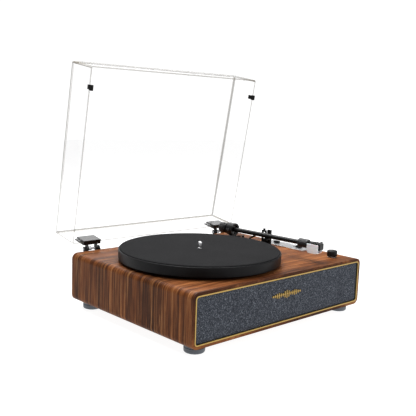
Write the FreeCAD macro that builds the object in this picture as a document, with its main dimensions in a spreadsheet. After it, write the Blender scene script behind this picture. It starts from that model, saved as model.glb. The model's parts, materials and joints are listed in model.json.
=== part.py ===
import FreeCAD, Part
import math
import os
import re

import Sketcher
from FreeCAD import Placement, Rotation, Vector

# Belt-drive record player with a hinged clear dust cover, shown with the cover open.
# Frame: the origin lies on the floor under the middle of the cabinet, +X to the right,
# -Y to the front, +Z up. Lengths are in millimetres.

SIZES = {
    # cabinet
    "deck_level": 104, "foot_height": 14, "foot_radius": 17.5, "foot_across": 188, "foot_back": 145,
    "cabinet_width": 434, "cabinet_depth": 342, "wall": 12, "cabinet_round": 11,
    "front_lip": 5, "front_rebate": 16, "rear_lip": 8, "rear_rebate": 8, "rebate_round": 6,
    "slip": 0.2, "trim_width": 2, "trim_proud": 0.6, "cloth_recess": 1.5, "cloth_thick": 1.5,
    "baffle_thick": 9, "badge_drop": 36, "badge_middle": 1, "badge_length": 74, "badge_height": 14,
    "hatch_width": 330, "hatch_depth": 240, "hatch_edge": 10, "hatch_thick": 2,
    "speaker_across": 130, "speaker_level": 59,
    # platter and drive
    "spindle_across": -59, "spindle_back": -10, "platter_radius": 148.5, "platter_gap": 5,
    "platter_top": 22, "mat_thick": 2, "hub_radius": 14, "spindle_radius": 4, "tip_radius": 3.6,
    "tip_length": 12, "ring_radius": 72, "run_fit": 0.05,
    "motor_across": -137, "motor_back": 68, "motor_radius": 17.5, "motor_height": 25,
    "pulley_radius": 6.25, "shaft_radius": 1, "belt_thick": 0.6, "belt_width": 5, "belt_level": 11.5,
    # volume control and control plate
    "knob_across": 176, "knob_back": -133.5, "knob_radius": 10, "knob_height": 11,
    "plate_across": 187.5, "plate_back": -8, "plate_width": 39, "plate_depth": 116, "plate_thick": 1.5,
    "speed_back": -42, "stop_back": 18,
    # tonearm: distances from the pivot along the arm, heights from the arm's axis
    "pivot_across": 104, "pivot_back": 69, "arm_height": 31, "arm_angle": 3.2, "arm_radius": 4.6,
    "arm_bore": 3.6, "yoke_outer": 13, "yoke_inner": 9.5, "stem_radius": 4, "pillar_radius": 9,
    "base_radius": 22, "base_thick": 3, "base_reach": 44, "weight_radius": 10.6, "weight_near": 13,
    "weight_far": 31, "collar_near": 170, "collar_far": 193, "collar_radius": 8.4,
    "shell_far": 222, "rest_near": 74, "rest_far": 96, "lift_reach": 30,
    # dust cover and hinges, drawn closed about the hinge axis
    "cover_width": 422, "cover_depth": 333.8, "cover_height": 66, "cover_wall": 2.6, "cover_open": 80,
    "axis_back": 177.9, "axis_rise": 2.7, "cover_back": -10.9, "rim_rise": 3.8,
    "hinge_across": 170, "hinge_half": 19, "pin_radius": 2, "barrel_radius": 4.5,
    # rear connector plate
    "io_across": 60, "io_level": 45, "io_width": 96, "io_height": 36,
}

doc = FreeCAD.newDocument("record_player")
sheet = doc.addObject("Spreadsheet::Sheet", "Sizes")
for row, (alias, value) in enumerate(SIZES.items(), start=1):
    sheet.set(f"A{row}", alias)
    sheet.set(f"B{row}", str(value))
    sheet.setAlias(f"B{row}", alias)
doc.recompute()

UP = Vector(0, 0, 1)
AXES = {"x": Vector(1, 0, 0), "-x": Vector(-1, 0, 0), "y": Vector(0, 1, 0),
        "-y": Vector(0, -1, 0), "z": UP, "-z": Vector(0, 0, -1)}
pieces = []


# ---- Helpers: every length is an expression on the sheet's aliases ----

def on_sheet(text):
    return re.sub(r"[a-z_]+", lambda word: "Sizes." + word.group() if word.group() in SIZES
                  else word.group(), str(text))


def number(text):
    return float(sheet.evalExpression(on_sheet(text)))


def place(piece, x="0", y="0", z="0"):
    for axis, text in zip("xyz", (x, y, z)):
        piece.setExpression(".Placement.Base." + axis, on_sheet(text))
    return piece


def box(x, y, z):
    """A block between three pairs of limits."""
    piece = doc.addObject("Part::Box", "Block")
    for side, axis, (low, high) in zip(("Length", "Width", "Height"), "xyz", (x, y, z)):
        piece.setExpression(side, on_sheet(f"({high}) - ({low})"))
        piece.setExpression(".Placement.Base." + axis, on_sheet(low))
    return piece


def rod(radius, x, y, z, length, toward="z"):
    piece = doc.addObject("Part::Cylinder", "Rod")
    piece.Placement = Placement(Vector(), Rotation(UP, AXES[toward]))
    piece.setExpression("Radius", on_sheet(radius))
    piece.setExpression("Height", on_sheet(length))
    return place(piece, x, y, z)


def fuse(*parts):
    piece = doc.addObject("Part::MultiFuse", "Union")
    piece.Shapes = list(parts)
    piece.Refine = True
    return piece


def cut(base, *tools):
    piece = doc.addObject("Part::Cut", "Difference")
    piece.Base = base
    piece.Tool = tools[0] if len(tools) == 1 else fuse(*tools)
    return piece


def group(parts):
    piece = doc.addObject("Part::Compound", "Group")
    piece.Links = list(parts)
    return piece


def tube(radius, bore, x, y, z, length, toward="z"):
    return cut(rod(radius, x, y, z, length, toward), rod(bore, x, y, z, length, toward))


def soften(piece, radius, choose):
    """Round the straight or curved edges for which choose(edge) holds."""
    doc.recompute()
    rounded = doc.addObject("Part::Fillet", "Softened")
    rounded.Base = piece
    chosen = [i for i, edge in enumerate(piece.Shape.Edges, start=1) if choose(edge)]
    rounded.Edges = [(i, radius, radius) for i in chosen]
    return rounded


def along(axis):
    direction = AXES[axis]
    return lambda edge: (isinstance(edge.Curve, Part.Line)
                         and abs(edge.tangentAt(edge.FirstParameter).dot(direction)) > 0.999)


def keep(label, piece):
    piece.Label = label
    pieces.append(piece)
    return piece


def new_body():
    return doc.addObject("PartDesign::Body", "Body")


def new_sketch(body, role, offset="0"):
    sketch = body.newObject("Sketcher::SketchObject", "Profile")
    plane = next(item for item in body.Origin.OriginFeatures if item.Role == role)
    sketch.AttachmentSupport = [(plane, "")]
    sketch.MapMode = "FlatFace"
    sketch.setExpression(".AttachmentOffset.Base.z", on_sheet(offset))
    return sketch


def fix_point(sketch, element, point, x, y):
    for kind, text, axis in (("DistanceX", x, -2), ("DistanceY", y, -1)):
        value = number(text)
        if abs(value) < 1e-9:
            sketch.addConstraint(Sketcher.Constraint("PointOnObject", element, point, axis))
            continue
        ends = (-1, 1, element, point) if value > 0 else (element, point, -1, 1)
        index = sketch.addConstraint(Sketcher.Constraint(kind, *ends, abs(value)))
        sign = "" if value > 0 else "-"
        sketch.setExpression(f"Constraints[{index}]", on_sheet(f"{sign}({text})"))


def circle(sketch, x, y, radius):
    shape = Part.Circle(Vector(number(x), number(y), 0), UP, number(radius))
    element = sketch.addGeometry(shape, False)
    fix_point(sketch, element, 3, x, y)
    index = sketch.addConstraint(Sketcher.Constraint("Radius", element, number(radius)))
    sketch.setExpression(f"Constraints[{index}]", on_sheet(radius))


def outline(sketch, corners):
    """A closed outline of straight sides through corners given as pairs of expressions."""
    spots = [Vector(number(x), number(y), 0) for x, y in corners]
    count = len(corners)
    lines = [sketch.addGeometry(Part.LineSegment(spots[i], spots[(i + 1) % count]), False)
             for i in range(count)]
    for i in range(count):
        sketch.addConstraint(Sketcher.Constraint("Coincident", lines[i], 2, lines[(i + 1) % count], 1))
        fix_point(sketch, lines[i], 1, *corners[i])


def rectangle(sketch, left, right, low, high):
    outline(sketch, [(left, low), (right, low), (right, high), (left, high)])


def rounded_rectangle(sketch, left, right, low, high, radius):
    x0, x1, y0, y1, r = (number(text) for text in (left, right, low, high, radius))
    middles = [(x1 - r, y0 + r), (x1 - r, y1 - r), (x0 + r, y1 - r), (x0 + r, y0 + r)]
    sides = [((x0 + r, y0), (x1 - r, y0)), ((x1, y0 + r), (x1, y1 - r)),
             ((x1 - r, y1), (x0 + r, y1)), ((x0, y1 - r), (x0, y0 + r))]
    lines = [sketch.addGeometry(Part.LineSegment(Vector(*a, 0), Vector(*b, 0)), False) for a, b in sides]
    arcs = []
    for i, (x, y) in enumerate(middles):
        start = math.radians(90 * (i - 1))
        arc = Part.ArcOfCircle(Part.Circle(Vector(x, y, 0), UP, r), start, start + math.pi / 2)
        arcs.append(sketch.addGeometry(arc, False))
    for i in range(4):
        sketch.addConstraint(Sketcher.Constraint("Tangent", lines[i], 2, arcs[i], 1))
        sketch.addConstraint(Sketcher.Constraint("Tangent", arcs[i], 2, lines[(i + 1) % 4], 1))
        sketch.addConstraint(Sketcher.Constraint("Horizontal" if i % 2 == 0 else "Vertical", lines[i]))
    limits = (("DistanceY", low, 0), ("DistanceX", right, 1), ("DistanceY", high, 2), ("DistanceX", left, 3))
    for kind, text, line in limits:
        value = number(text)
        ends = (-1, 1, lines[line], 1) if value > 0 else (lines[line], 1, -1, 1)
        index = sketch.addConstraint(Sketcher.Constraint(kind, *ends, abs(value)))
        sketch.setExpression(f"Constraints[{index}]", on_sheet(text if value > 0 else f"-({text})"))
    index = sketch.addConstraint(Sketcher.Constraint("Radius", arcs[0], r))
    sketch.setExpression(f"Constraints[{index}]", on_sheet(radius))
    for arc in arcs[1:]:
        sketch.addConstraint(Sketcher.Constraint("Equal", arcs[0], arc))


def pad(body, sketch, length, both_ways=False):
    feature = body.newObject("PartDesign::Pad", "Pad")
    feature.Profile = sketch
    feature.SideType = "Symmetric" if both_ways else "One side"
    feature.setExpression("Length", on_sheet(length))
    doc.recompute()
    return body


def pocket(body, sketch, length, reverse=False, both_ways=False):
    before = body.Shape.Volume
    feature = body.newObject("PartDesign::Pocket", "Pocket")
    feature.Profile = sketch
    feature.SideType = "Symmetric" if both_ways else "One side"
    feature.Reversed = reverse
    feature.setExpression("Length", on_sheet(length))
    doc.recompute()
    if body.Shape.Volume > before - 1e-3:
        raise RuntimeError("a pocket in " + body.Name + " removes nothing")
    return body


def turned(corners):
    """A body turned round +Z from an outline of (radius, height) corners."""
    body = new_body()
    sketch = new_sketch(body, "XZ_Plane")
    outline(sketch, corners)
    feature = body.newObject("PartDesign::Revolution", "Turning")
    feature.Profile = sketch
    feature.ReferenceAxis = (sketch, ["V_Axis"])
    feature.Angle = 360
    doc.recompute()
    return body


def prism(corners, low, high, role="YZ_Plane"):
    """A straight bar between two offsets, from an outline drawn on an origin plane."""
    body = new_body()
    sketch = new_sketch(body, role, low)
    outline(sketch, corners)
    return pad(body, sketch, f"({high}) - ({low})")


def screw(radius, x, y, z, shank, toward, head=1.8):
    """A pan-head screw: the head stands above the point, the shank goes on toward its tip."""
    back = {"x": "-x", "-x": "x", "y": "-y", "-y": "y", "z": "-z", "-z": "z"}[toward]
    return fuse(rod(f"{radius} * {head}", x, y, z, radius, back), rod(radius, x, y, z, shank, toward))


def on_arm(piece):
    """Lengths were taken from the pivot: turn to the rest angle and move to the pivot."""
    piece.Placement = Placement(Vector(), Rotation(UP, number("arm_angle")))
    return place(piece, "pivot_across", "pivot_back", "deck_level + arm_height")


def along_arm(piece):
    """The same for a body that was turned round +Z, which comes to lie along the arm."""
    lay_down = Rotation(UP, AXES["-y"])
    piece.Placement = Placement(Vector(), Rotation(UP, number("arm_angle")) * lay_down)
    return place(piece, "pivot_across", "pivot_back", "deck_level + arm_height")


def on_hinge(piece):
    """Drawn closed about the hinge axis: swing open and move to the axis."""
    piece.Placement = Placement(Vector(), Rotation(AXES["x"], -number("cover_open")))
    return place(piece, "0", "axis_back", "deck_level + axis_rise")


FRONT = "-cabinet_depth / 2"
BACK = "cabinet_depth / 2"
SIDE = "cabinet_width / 2"
FOOT_SPOTS = [(f"{a} * foot_across", f"{b} * foot_back") for a in (-1, 1) for b in (-1, 1)]
HATCH_SPOTS = [(f"{a} * (hatch_width + hatch_edge) / 2", f"{b} * 90") for a in (-1, 1) for b in (-1, 1)]
PANEL_SPOTS = [(f"{a} * ({SIDE} - 10.5)", f"speaker_level + {b} * 20") for a in (-1, 1) for b in (-1, 1)]
HINGE_SPOTS = [(f"{a} * hinge_across + {b} * 8", level) for a in (-1, 1) for b in (-1, 1)
               for level in ("deck_level - 6", "deck_level - 30")]
IO_SPOTS = [(f"io_across + {a} * 44", f"io_level + {b} * 14.5") for a in (-1, 1) for b in (-1, 1)]


# ---- Cabinet ----

def make_shell():
    body = new_body()
    outer = new_sketch(body, "XZ_Plane")
    rounded_rectangle(outer, f"-{SIDE}", SIDE, "foot_height", "deck_level", "cabinet_round")
    pad(body, outer, "cabinet_depth", both_ways=True)
    inner = new_sketch(body, "XZ_Plane")
    rectangle(inner, f"wall - {SIDE}", f"{SIDE} - wall", "foot_height + wall", "deck_level - wall")
    pocket(body, inner, "cabinet_depth", both_ways=True)
    for lip, depth, plane, reverse in (("front_lip", "front_rebate", BACK, False),
                                       ("rear_lip", "rear_rebate", FRONT, True)):
        step = new_sketch(body, "XZ_Plane", plane)
        rounded_rectangle(step, f"{lip} - {SIDE}", f"{SIDE} - {lip}", f"foot_height + {lip}",
                          f"deck_level - {lip}", "rebate_round")
        pocket(body, step, depth, reverse)
    hatch = new_sketch(body, "XY_Plane", "foot_height")
    rectangle(hatch, "-hatch_width / 2", "hatch_width / 2", "-hatch_depth / 2", "hatch_depth / 2")
    pocket(body, hatch, "wall", reverse=True)
    step = new_sketch(body, "XY_Plane", "foot_height")
    rectangle(step, "-hatch_width / 2 - hatch_edge", "hatch_width / 2 + hatch_edge",
              "-hatch_depth / 2 - hatch_edge", "hatch_depth / 2 + hatch_edge")
    pocket(body, step, "hatch_thick", reverse=True)
    deck = new_sketch(body, "XY_Plane", "deck_level")
    circle(deck, "spindle_across", "spindle_back", "9.2")
    circle(deck, "motor_across", "motor_back", "8.5")
    circle(deck, "pivot_across", "pivot_back", "7.3")
    circle(deck, "knob_across", "knob_back", "3.6")
    rectangle(deck, "plate_across - 12", "plate_across + 12", "plate_back - 48", "plate_back + 48")
    pocket(body, deck, "wall")
    feet = new_sketch(body, "XY_Plane", "foot_height")
    for x, y in FOOT_SPOTS + HATCH_SPOTS:
        circle(feet, x, y, "2")
    pocket(body, feet, "10", reverse=True)
    rear = new_sketch(body, "XZ_Plane", f"rear_rebate - {BACK}")
    for x, z in PANEL_SPOTS:
        circle(rear, x, z, "1.3")
    pocket(body, rear, "10", reverse=True)
    hinges = new_sketch(body, "XZ_Plane", f"-{BACK}")
    for x, z in HINGE_SPOTS[::2]:
        circle(hinges, x, z, "1.6")
    pocket(body, hinges, "12", reverse=True)
    keep("cabinet_shell", body)


def ring_panel(label, lip, front, back, hole):
    """A panel or ring across the cabinet's front, with an inner opening left by hole."""
    body = new_body()
    edge = new_sketch(body, "XZ_Plane", back)
    rounded_rectangle(edge, f"{lip} - {SIDE}", f"{SIDE} - ({lip})", f"foot_height + {lip}",
                      f"deck_level - ({lip})", "rebate_round - slip")
    pad(body, edge, f"({front}) - ({back})")
    if hole:
        inner = new_sketch(body, "XZ_Plane", front)
        rounded_rectangle(inner, f"{hole} - {SIDE}", f"{SIDE} - ({hole})", f"foot_height + {hole}",
                          f"deck_level - ({hole})", "rebate_round - trim_width")
        pocket(body, inner, f"({front}) - ({back})")
    return keep(label, body)


def make_front():
    step = f"{BACK} - front_rebate"
    cloth_back = f"{BACK} - cloth_recess - cloth_thick"
    inside = "front_lip + slip + trim_width"
    ring_panel("grille_trim", "front_lip + slip", f"{BACK} + trim_proud", step, inside)
    ring_panel("grille_frame", f"{inside} + slip", cloth_back, step, "wall + 6")
    ring_panel("grille_cloth", f"{inside} + slip", f"{BACK} - cloth_recess", cloth_back, None)
    board = box((f"wall - {SIDE}", f"{SIDE} - wall"),
                (f"{FRONT} + front_rebate", f"{FRONT} + front_rebate + baffle_thick"),
                ("foot_height + wall", "deck_level - wall"))
    holes = [rod("28", f"{a} * speaker_across", f"{FRONT} + front_rebate - 1", "speaker_level", "20", "y")
             for a in (-1, 1)]
    keep("front_baffle", cut(board, *holes))


def make_badge():
    """A plain ornament: upright bars under a wave-shaped envelope, on one thin rail."""
    face = f"{FRONT} + cloth_recess"
    level = "deck_level - badge_drop"
    rail = box(("badge_middle - badge_length / 2", "badge_middle + badge_length / 2"),
               (f"{face} - 1.2", face), (f"{level} - 0.6", f"{level} + 0.6"))
    bars = []
    bar_count = 15
    for i in range(bar_count):
        across = i / (bar_count - 1) - 0.5
        fade = math.sqrt(max(0.0, math.cos(math.pi * across)))
        share = 0.25 + 0.75 * abs(math.cos(3 * math.pi * across)) * fade
        middle = f"badge_middle + {across:.4f} * (badge_length - 1.6)"
        half = f"badge_height * {share:.4f} / 2"
        bars.append(box((f"{middle} - 0.8", f"{middle} + 0.8"), (f"{face} - 1.8", face),
                        (f"{level} - {half}", f"{level} + {half}")))
    keep("front_badge", fuse(rail, *bars))


def make_rear():
    body = new_body()
    edge = new_sketch(body, "XZ_Plane", f"-{BACK}")
    rounded_rectangle(edge, f"rear_lip + slip - {SIDE}", f"{SIDE} - rear_lip - slip",
                      "foot_height + rear_lip + slip", "deck_level - rear_lip - slip",
                      "rebate_round - slip")
    pad(body, edge, "rear_rebate")
    holes = new_sketch(body, "XZ_Plane", f"-{BACK}")
    rectangle(holes, "io_across - 38", "io_across + 38", "io_level - 11", "io_level + 11")
    for x, z in PANEL_SPOTS:
        circle(holes, x, z, "1.3")
    for x, z in HINGE_SPOTS[1::2]:
        circle(holes, x, z, "1.6")
    for x, z in IO_SPOTS:
        circle(holes, x, z, "1.3")
    pocket(body, holes, "3 * rear_rebate", both_ways=True)
    keep("rear_panel", body)


def make_bottom():
    cover = box(("-hatch_width / 2 - hatch_edge + slip", "hatch_width / 2 + hatch_edge - slip"),
                ("-hatch_depth / 2 - hatch_edge + slip", "hatch_depth / 2 + hatch_edge - slip"),
                ("foot_height", "foot_height + hatch_thick"))
    holes = [rod("2", x, y, "foot_height - 1", "5") for x, y in HATCH_SPOTS]
    keep("bottom_cover", cut(cover, *holes))
    feet = []
    for x, y in FOOT_SPOTS:
        foot = turned([("2.2", "5"), ("5", "5"), ("5", "0"), ("foot_radius - 4", "0"),
                       ("foot_radius - 1.2", "1"), ("foot_radius", "3.5"),
                       ("foot_radius", "foot_height"), ("2.2", "foot_height")])
        feet.append(place(foot, x, y))
    keep("rubber_feet", group(feet))


def facing_front(body, across):
    body.Placement = Placement(Vector(), Rotation(UP, AXES["-y"]))
    return place(body, across, f"{FRONT} + front_rebate + baffle_thick", "speaker_level")


def make_speakers():
    units, cones = [], []
    for side in (-1, 1):
        across = f"{side} * speaker_across"
        units.append(facing_front(turned([
            ("25.5", "0"), ("31.5", "0"), ("31.5", "-2"), ("27.5", "-2"), ("14.5", "-19"),
            ("14.5", "-21"), ("5", "-21"), ("5", "-19.5"), ("13", "-19.5"), ("25.5", "-2.5")]), across))
        cones.append(facing_front(turned([
            ("0", "-9"), ("6", "-11"), ("24", "-1.2"), ("25.4", "0.8"), ("27.4", "0"), ("27.4", "0.6"),
            ("25.4", "1.6"), ("23.6", "-0.6"), ("6", "-10.2"), ("0", "-8")]), across))
        units.append(facing_front(turned([
            ("0", "-22"), ("4.5", "-22"), ("4.5", "-21"), ("20", "-21"), ("20", "-34"), ("0", "-34")]),
            across))
    keep("speaker_units", group(units))
    keep("speaker_cones", group(cones))


def make_electronics():
    under = "deck_level - wall"
    board = box(("-30", "75"), ("70", "148"), (f"{under} - 9.6", f"{under} - 8"))
    spots = [(x, y) for x in ("-25", "70") for y in ("75", "143")]
    keep("amplifier_board", cut(board, *[rod("1.6", x, y, f"{under} - 12", "6") for x, y in spots]))
    standoffs = [tube("3", "1.6", x, y, f"{under} - 8", "8") for x, y in spots]
    low = f"{under} - 9.6"
    heat_sink = box(("-20", "30"), ("80", "92"), (f"{low} - 22", low))
    capacitors = [rod("5", x, "110", low, "18", "-z") for x in ("-15", "0", "15")]
    chips = [box((f"{x}", f"{x} + 12"), ("105", "117"), (f"{low} - 3", low)) for x in (35, 52)]
    keep("board_parts", group([heat_sink] + capacitors + chips + standoffs))
    keep("volume_pot", cut(
        fuse(box(("knob_across - 8", "knob_across + 8"), ("knob_back - 8", "knob_back + 8"),
                 (f"{under} - 8", under)),
             rod("3.5", "knob_across", "knob_back", under, "wall + 1.5")),
        rod("3 + run_fit", "knob_across", "knob_back", f"{under} - 6", "40")))


def make_connectors():
    low, high = "io_level - io_height / 2", "io_level + io_height / 2"
    plate = box(("io_across - io_width / 2", "io_across + io_width / 2"), (BACK, f"{BACK} + 2"), (low, high))
    holes = [rod("1.3", x, f"{BACK} - 1", z, "5", "y") for x, z in IO_SPOTS]
    jacks = {"-30": "5.05", "-14": "5.05", "2": "4.05", "15": "5.05"}
    holes += [rod(radius, f"io_across + {x}", f"{BACK} - 1", "io_level", "5", "y")
              for x, radius in jacks.items()]
    switch_hole = box(("io_across + 24", "io_across + 36"), (f"{BACK} - 1", f"{BACK} + 3"),
                      ("io_level - 8.5", "io_level + 8.5"))
    keep("connector_plate", cut(plate, switch_hole, *holes))
    sockets = []
    for x in ("-30", "-14"):
        across = f"io_across + {x}"
        barrel = fuse(rod("4.15", across, BACK, "io_level", "12.5", "y"),
                      rod("5", across, f"{BACK} - 4", "io_level", "7.5", "y"),
                      box((f"{across} - 6", f"{across} + 6"), (f"{BACK} - 14", BACK),
                          ("io_level - 7", "io_level + 7")))
        sockets.append(cut(barrel, rod("1.6", across, f"{BACK} + 3", "io_level", "9", "y")))
    head = "io_across + 2"
    sockets.append(cut(
        fuse(rod("4", head, f"{BACK} - 4", "io_level", "8", "y"),
             box((f"{head} - 5", f"{head} + 5"), (f"{BACK} - 14", BACK), ("io_level - 7", "io_level + 7"))),
        rod("1.75", head, f"{BACK} - 10", "io_level", "15", "y")))
    power = "io_across + 15"
    socket = cut(fuse(rod("5", power, f"{BACK} - 4", "io_level", "8", "y"),
                      box((f"{power} - 6", f"{power} + 6"), (f"{BACK} - 14", BACK),
                          ("io_level - 7", "io_level + 7"))),
                 rod("2.75", power, f"{BACK} - 6", "io_level", "12", "y"))
    sockets.append(fuse(socket, rod("1", power, f"{BACK} - 8", "io_level", "11", "y")))
    keep("rear_sockets", group(sockets))
    across = "io_across + 30"
    frame = fuse(box((f"{across} - 7.5", f"{across} + 7.5"), (f"{BACK} + 2", f"{BACK} + 4"),
                     ("io_level - 10.5", "io_level + 10.5")),
                 box((f"{across} - 5.9", f"{across} + 5.9"), (f"{BACK} - 14", f"{BACK} + 2"),
                     ("io_level - 8.4", "io_level + 8.4")))
    well = box((f"{across} - 4.9", f"{across} + 4.9"), (f"{BACK} - 10", f"{BACK} + 6"),
               ("io_level - 7.4", "io_level + 7.4"))
    trunnion_hole = rod("1.05", f"{across} - 5.6", BACK, "io_level", "11.2", "x")
    keep("switch_frame", cut(frame, well, trunnion_hole))
    rocker = prism([("-3", "-6.3"), ("3.9", "-5.9"), ("2.4", "0"), ("2.0", "6.8"), ("-3", "6.3")],
                   "-4.7", "4.7")
    place(rocker, across, BACK, "io_level")
    keep("power_rocker", fuse(rocker, rod("1", f"{across} - 5.4", BACK, "io_level", "10.8", "x")))


# ---- Platter and its drive ----

def make_drive():
    deck = "deck_level"
    housing = turned([("0", "-34"), ("9", "-34"), ("9", "0"), ("20", "0"), ("20", "2"),
                      ("spindle_radius + run_fit", "2"), ("spindle_radius + run_fit", "-30"),
                      ("0", "-30")])
    place(housing, "spindle_across", "spindle_back", deck)
    ball = doc.addObject("Part::Sphere", "Ball")
    ball.Radius = 2
    place(ball, "spindle_across", "spindle_back", f"{deck} - 28")
    keep("spindle_bearing", group([housing, ball]))
    top = "platter_top"
    platter = turned([("spindle_radius + 0.02", "3.5"), ("hub_radius", "3.5"), ("hub_radius", f"{top} - 4"),
                      ("ring_radius - 4", f"{top} - 4"), ("ring_radius - 4", "6"), ("ring_radius", "6"),
                      ("ring_radius", f"{top} - 4"), ("platter_radius - 5", f"{top} - 4"),
                      ("platter_radius - 5", "platter_gap"), ("platter_radius", "platter_gap"),
                      ("platter_radius", f"{top} - 1"), ("platter_radius - 1", top),
                      ("spindle_radius + 0.02", top)])
    keep("platter", place(platter, "spindle_across", "spindle_back", deck))
    mat = turned([("spindle_radius + 0.6", top), ("platter_radius - 2", top),
                  ("platter_radius - 2", f"{top} + mat_thick - 0.4"),
                  ("platter_radius - 2.4", f"{top} + mat_thick"),
                  ("spindle_radius + 0.6", f"{top} + mat_thick")])
    keep("platter_mat", place(mat, "spindle_across", "spindle_back", deck))
    tip = f"{top} + mat_thick"
    spindle = turned([("0", "-26"), ("spindle_radius", "-26"), ("spindle_radius", tip),
                      ("tip_radius", tip), ("tip_radius", f"{tip} + tip_length - 1.5"),
                      ("tip_radius - 0.5", f"{tip} + tip_length - 0.6"),
                      ("tip_radius - 1.6", f"{tip} + tip_length"), ("0", f"{tip} + tip_length")])
    keep("platter_spindle", place(spindle, "spindle_across", "spindle_back", deck))

    under = "deck_level - wall"
    bracket = cut(box(("motor_across - 32", "motor_across + 32"), ("motor_back - 21", "motor_back + 21"),
                      (f"{under} - 3", under)),
                  rod("8", "motor_across", "motor_back", f"{under} - 5", "10"))
    keep("motor_bracket", bracket)
    can = cut(rod("motor_radius", "motor_across", "motor_back", f"{under} - 3 - motor_height",
                  "motor_height"),
              rod("shaft_radius + run_fit", "motor_across", "motor_back",
                  f"{under} - motor_height + 2", "motor_height"))
    keep("motor", can)
    keep("motor_shaft", rod("shaft_radius", "motor_across", "motor_back",
                            f"{under} - motor_height + 3", "motor_height + wall + 13"))
    pulley = turned([("shaft_radius", "5"), ("7.6", "5"), ("7.6", "6.5"), ("pulley_radius", "7.2"),
                     ("pulley_radius", "15.8"), ("7.6", "16.5"), ("7.6", "17"), ("shaft_radius", "17")])
    keep("motor_pulley", place(pulley, "motor_across", "motor_back", deck))
    make_belt()


def belt_face(ring, pulley, span):
    """The loop round two circles whose middles lie span apart, as a flat face."""
    lean = math.acos((ring - pulley) / span)
    def on_circle(middle, radius, angle):
        return Vector(middle + radius * math.cos(angle), radius * math.sin(angle), 0)
    upper = Part.LineSegment(on_circle(0, ring, lean), on_circle(span, pulley, lean))
    lower = Part.LineSegment(on_circle(span, pulley, -lean), on_circle(0, ring, -lean))
    nose = Part.Arc(on_circle(span, pulley, lean), on_circle(span, pulley, 0),
                    on_circle(span, pulley, -lean))
    back = Part.Arc(on_circle(0, ring, -lean), on_circle(0, ring, math.pi), on_circle(0, ring, lean))
    wire = Part.Wire([upper.toShape(), nose.toShape(), lower.toShape(), back.toShape()])
    return Part.Face(wire)


def make_belt():
    across = number("motor_across - spindle_across")
    back = number("motor_back - spindle_back")
    gap = 0.1
    inner = belt_face(number("ring_radius") + gap, number("pulley_radius") + gap, math.hypot(across, back))
    thick = number("belt_thick")
    outer = belt_face(number("ring_radius") + gap + thick, number("pulley_radius") + gap + thick,
                      math.hypot(across, back))
    height = Vector(0, 0, number("belt_width"))
    belt = doc.addObject("Part::Feature", "Belt")
    belt.Shape = outer.extrude(height).cut(inner.extrude(height))
    turn = math.degrees(math.atan2(back, across))
    level = number("deck_level + belt_level - belt_width / 2")
    belt.Placement = Placement(Vector(number("spindle_across"), number("spindle_back"), level),
                               Rotation(UP, turn))
    keep("drive_belt", belt)


# ---- Deck controls ----

def make_controls():
    spot = ("knob_across", "knob_back", "deck_level")
    keep("knob_collar", place(turned([("3.6", "0"), ("8.2", "0"), ("8.2", "1"), ("7", "1.6"), ("7", "2.2"),
                                      ("3.6", "2.2")]), *spot))
    knob = turned([("3.02", "2.5"), ("knob_radius - 0.6", "2.5"), ("knob_radius", "3.2"),
                   ("knob_radius", "knob_height + 1.4"), ("knob_radius - 1.2", "knob_height + 2.5"),
                   ("0", "knob_height + 2.5"), ("0", "knob_height"), ("3.02", "knob_height")])
    place(knob, *spot)
    shaft = rod("3", "knob_across", "knob_back", "deck_level - wall - 5", "wall + 5 + knob_height")
    keep("volume_knob", group([knob, shaft]))
    left, right = "plate_across - plate_width / 2", "plate_across + plate_width / 2"
    near, far = "plate_back - plate_depth / 2", "plate_back + plate_depth / 2"
    plate = soften(box((left, right), (near, far), ("deck_level", "deck_level + plate_thick")), 3, along("z"))
    slots, bodies = [], []
    for back, travel in (("speed_back", 12), ("stop_back", 6)):
        slots.append(box(("plate_across - 2", "plate_across + 2"),
                         (f"{back} - 3", f"{back} + {travel} + 3"), ("deck_level - 1", "deck_level + 3")))
        case = box(("plate_across - 8", "plate_across + 8"), (f"{back} - 7", f"{back} + {travel} + 7"),
                   ("deck_level - 9", "deck_level"))
        well = box(("plate_across - 2.4", "plate_across + 2.4"),
                   (f"{back} - 3.4", f"{back} + {travel} + 3.4"), ("deck_level - 6", "deck_level"))
        bodies.append(cut(case, well))
    keep("control_plate", cut(plate, *slots))
    keep("switch_bodies", group(bodies))
    top = "deck_level + plate_thick"
    for label, back in (("speed_slider", "speed_back"), ("stop_slider", "stop_back")):
        stem = box(("plate_across - 1.6", "plate_across + 1.6"), (f"{back} - 2", f"{back} + 2"),
                   ("deck_level - 5.5", f"{top} + 1"))
        cap = soften(box(("plate_across - 4.5", "plate_across + 4.5"), (f"{back} - 6", f"{back} + 6"),
                         (f"{top} + 0.3", f"{top} + 4.3")), 1, along("z"))
        keep(label, fuse(stem, cap))


# ---- Tonearm, drawn along -Y from its pivot ----

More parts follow.
